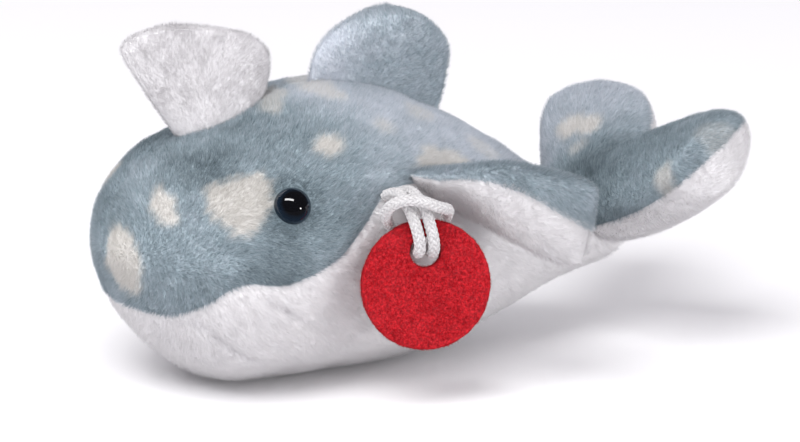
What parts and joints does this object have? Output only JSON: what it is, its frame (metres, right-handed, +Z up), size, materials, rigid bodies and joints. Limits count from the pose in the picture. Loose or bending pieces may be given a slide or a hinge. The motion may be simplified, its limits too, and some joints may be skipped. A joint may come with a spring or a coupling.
{
  "type": "plush whale",
  "caption": "Small plush whale lying on its belly, with a white belly and spout, floppy fin, flippers and flukes, domed eyes and a round felt hang tag on a cord.",
  "frame": {"origin": "on the floor under the middle of the plush whale's bounding box, hang tag and cord left out", "axes": "nose towards -X, tail towards +X, the whale's left side towards -Y, +Z up"},
  "size_m": [0.107, 0.0742, 0.0593],
  "materials": {
    "blue_grey_pile": "short plush pile",
    "white_pile": "short plush pile",
    "polyester_fill": "loose fill",
    "black_eye": "polished",
    "eye_washer": "moulded",
    "red_felt": "pressed felt",
    "white_braid": "braided"
  },
  "bodies": {
    "body": {"body_stuffing": "polyester_fill", "side_panel_left": "blue_grey_pile", "side_panel_right": "blue_grey_pile", "belly_panel": "white_pile", "eye_left": "black_eye", "eye_right": "black_eye", "eye_washer_left": "eye_washer", "eye_washer_right": "eye_washer"},
    "spout": {"spout_left_cover": "white_pile", "spout_right_cover": "white_pile"},
    "dorsal_fin": {"dorsal_fin_left_cover": "blue_grey_pile", "dorsal_fin_right_cover": "blue_grey_pile"},
    "flipper_left": {"flipper_left_top": "blue_grey_pile", "flipper_left_underside": "white_pile"},
    "flipper_right": {"flipper_right_top": "blue_grey_pile", "flipper_right_underside": "white_pile"},
    "tail_flukes": {"tail_flukes_top": "blue_grey_pile", "tail_flukes_underside": "white_pile"},
    "tag": {"hang_tag": "red_felt", "tag_cord": "white_braid"}
  },
  "joints": [
    {"name": "spout_flop", "type": "hinge", "parent": "body", "child": "spout", "pos_m": [-0.03814, 0, 0.04221], "axis": [0.9473, 0, 0.3204], "range_deg": [-20, 20], "stiffness_Nm_per_rad": 0.02},
    {"name": "dorsal_fin_flop", "type": "hinge", "parent": "body", "child": "dorsal_fin", "pos_m": [-0.01753, 0, 0.04816], "axis": [0.951, 0, -0.3093], "range_deg": [-12, 12], "stiffness_Nm_per_rad": 0.03},
    {"name": "flipper_left_fold", "type": "hinge", "parent": "body", "child": "flipper_left", "pos_m": [-0.00998, -0.02098, 0.03414], "axis": [-0.9453, -0.2809, 0.1658], "range_deg": [-20, 35], "stiffness_Nm_per_rad": 0.03},
    {"name": "flipper_right_fold", "type": "hinge", "parent": "body", "child": "flipper_right", "pos_m": [-0.00998, 0.02098, 0.03414], "axis": [0.9453, -0.2809, -0.1658], "range_deg": [-20, 35], "stiffness_Nm_per_rad": 0.03},
    {"name": "tail_fold", "type": "hinge", "parent": "body", "child": "tail_flukes", "pos_m": [0.03046, 0, 0.01785], "axis": [0, -1, 0], "range_deg": [-25, 15], "stiffness_Nm_per_rad": 0.05},
    {"name": "tag_lift", "type": "hinge", "parent": "body", "child": "tag", "pos_m": [-0.01192, -0.02295, 0.03358], "axis": [-0.9879, -0.1551, 0.0043], "range_deg": [0, 60]}
  ]
}
